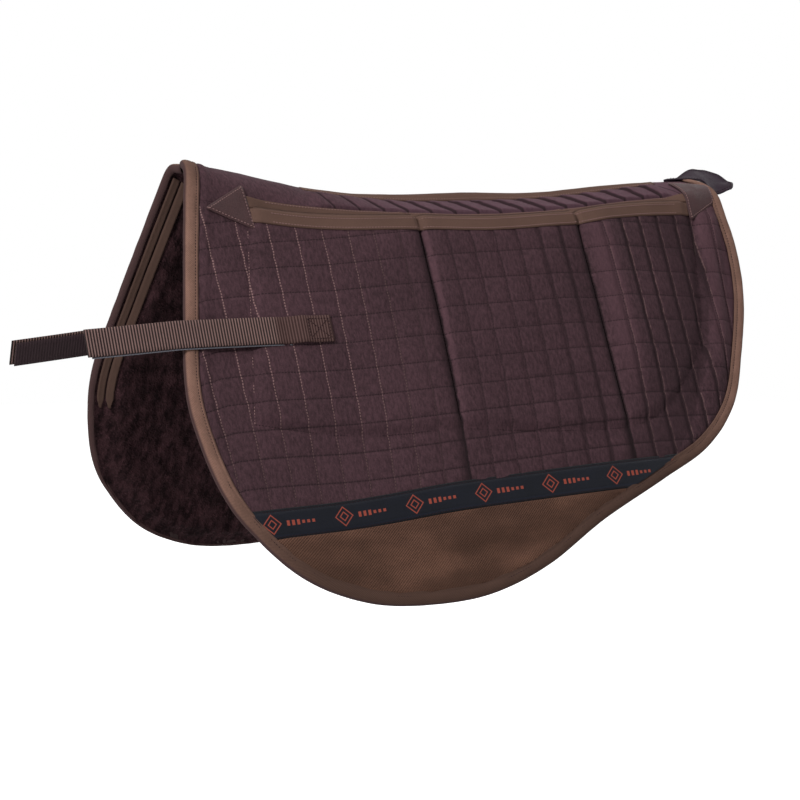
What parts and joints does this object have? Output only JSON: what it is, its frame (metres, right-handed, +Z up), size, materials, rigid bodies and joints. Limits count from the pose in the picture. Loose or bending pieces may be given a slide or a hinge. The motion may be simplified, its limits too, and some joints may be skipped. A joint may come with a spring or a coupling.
{
  "type": "felt saddle pad",
  "caption": "Contoured quilted saddle pad with a felt core and fleece lining, shim pockets along both sides, bound edges, lower wear patches, a rear tab and forward straps.",
  "frame": {"origin": "on the underside of the lining, under the spine at mid length, where the pad lies on the horse's back", "axes": "+X along the spine towards the rear, +Z up, -Y the pad's near (left) side"},
  "size_m": [0.8934, 0.4866, 0.4869],
  "materials": {
    "quilt": "quilted matt woven cotton",
    "felt": "pressed felt",
    "fleece": "deep synthetic fleece",
    "backing": "plain woven cloth",
    "binding": "folded woven binding tape",
    "tape": "woven twill tape",
    "ribbon": "woven jacquard ribbon",
    "nylon": "coarse woven nylon",
    "leather": "dark smooth leather",
    "webbing": "ribbed woven webbing",
    "grip_tape": "hook-and-loop tape",
    "shim": "pressed felt"
  },
  "bodies": {
    "spine": {"withers_cap": "quilt", "spine_strip": "quilt", "loin_cap": "quilt", "spine_tape": "tape", "spine_backing": "backing", "spine_fleece": "fleece", "front_spine_binding": "binding", "rear_spine_binding": "binding", "rear_tab_base": "leather"},
    "rear_tab": {"rear_tab_flap": "leather"},
    "left_side": {"left_upper_cover": "quilt", "left_quilted_cover": "quilt", "left_pocket_backing": "backing", "left_felt_core": "felt", "left_fleece_lining": "fleece", "left_edge_binding": "binding", "left_opening_outer_tape": "tape", "left_opening_inner_tape": "tape", "left_pocket_upper_tape": "tape", "left_pocket_lower_tape": "tape", "left_front_corner_patch": "leather", "left_rear_corner_patch": "leather", "left_trim_ribbon": "ribbon", "left_wear_patch": "nylon", "left_strap_sewn_end": "webbing"},
    "left_front_shim_body": {"left_front_shim": "shim"},
    "left_middle_shim_body": {"left_middle_shim": "shim"},
    "left_rear_shim_body": {"left_rear_shim": "shim"},
    "left_strap": {"left_strap_webbing": "webbing", "left_strap_grip_tape": "grip_tape"},
    "left_strap_tip": {"left_strap_tip_webbing": "webbing", "left_strap_tip_grip_tape": "grip_tape"},
    "right_side": {"right_upper_cover": "quilt", "right_quilted_cover": "quilt", "right_pocket_backing": "backing", "right_felt_core": "felt", "right_fleece_lining": "fleece", "right_edge_binding": "binding", "right_opening_outer_tape": "tape", "right_opening_inner_tape": "tape", "right_pocket_upper_tape": "tape", "right_pocket_lower_tape": "tape", "right_front_corner_patch": "leather", "right_rear_corner_patch": "leather", "right_trim_ribbon": "ribbon", "right_wear_patch": "nylon", "right_strap_sewn_end": "webbing"},
    "right_front_shim_body": {"right_front_shim": "shim"},
    "right_middle_shim_body": {"right_middle_shim": "shim"},
    "right_rear_shim_body": {"right_rear_shim": "shim"},
    "right_strap": {"right_strap_webbing": "webbing", "right_strap_grip_tape": "grip_tape"},
    "right_strap_tip": {"right_strap_tip_webbing": "webbing", "right_strap_tip_grip_tape": "grip_tape"}
  },
  "joints": [
    {"name": "left_side_opens", "type": "hinge", "parent": "spine", "child": "left_side", "pos_m": [-0.333, -0.02257, 0.05926], "axis": [0.9993, -0.0017, -0.0374], "range_deg": [-40, 3]},
    {"name": "left_strap_swings", "type": "hinge", "parent": "left_side", "child": "left_strap", "pos_m": [-0.2558, -0.11131, -0.11489], "axis": [0.0074, 0.4066, 0.9136], "range_deg": [0, 150]},
    {"name": "left_strap_folds", "type": "hinge", "parent": "left_strap", "child": "left_strap_tip", "pos_m": [-0.38929, -0.10959, -0.11457], "axis": [-0.0074, -0.4066, -0.9136], "range_deg": [-170, 72]},
    {"name": "left_front_shim_slides", "type": "slide", "parent": "left_side", "child": "left_front_shim_body", "axis": [0, 0.4067, 0.9135], "range_m": [0, 0.125]},
    {"name": "left_middle_shim_slides", "type": "slide", "parent": "left_side", "child": "left_middle_shim_body", "axis": [0, 0.4067, 0.9135], "range_m": [0, 0.16]},
    {"name": "left_rear_shim_slides", "type": "slide", "parent": "left_side", "child": "left_rear_shim_body", "axis": [0, 0.4067, 0.9135], "range_m": [0, 0.16]},
    {"name": "right_side_opens", "type": "hinge", "parent": "spine", "child": "right_side", "pos_m": [-0.333, 0.02257, 0.05926], "axis": [-0.9993, -0.0017, 0.0374], "range_deg": [-40, 3]},
    {"name": "right_strap_swings", "type": "hinge", "parent": "right_side", "child": "right_strap", "pos_m": [-0.2558, 0.11867, -0.13141], "axis": [0.0414, 0.4069, -0.9125], "range_deg": [0, 150]},
    {"name": "right_strap_folds", "type": "hinge", "parent": "right_strap", "child": "right_strap_tip", "pos_m": [-0.38917, 0.1196, -0.13705], "axis": [-0.0414, -0.4069, 0.9125], "range_deg": [-170, 72]},
    {"name": "right_front_shim_slides", "type": "slide", "parent": "right_side", "child": "right_front_shim_body", "axis": [0, -0.4067, 0.9135], "range_m": [0, 0.125]},
    {"name": "right_middle_shim_slides", "type": "slide", "parent": "right_side", "child": "right_middle_shim_body", "axis": [0, -0.4067, 0.9135], "range_m": [0, 0.16]},
    {"name": "right_rear_shim_slides", "type": "slide", "parent": "right_side", "child": "right_rear_shim_body", "axis": [0, -0.4067, 0.9135], "range_m": [0, 0.16]},
    {"name": "rear_tab_lifts", "type": "hinge", "parent": "spine", "child": "rear_tab", "pos_m": [0.357, 0, 0.0407], "axis": [0, -1, 0], "range_deg": [0, 100]}
  ]
}
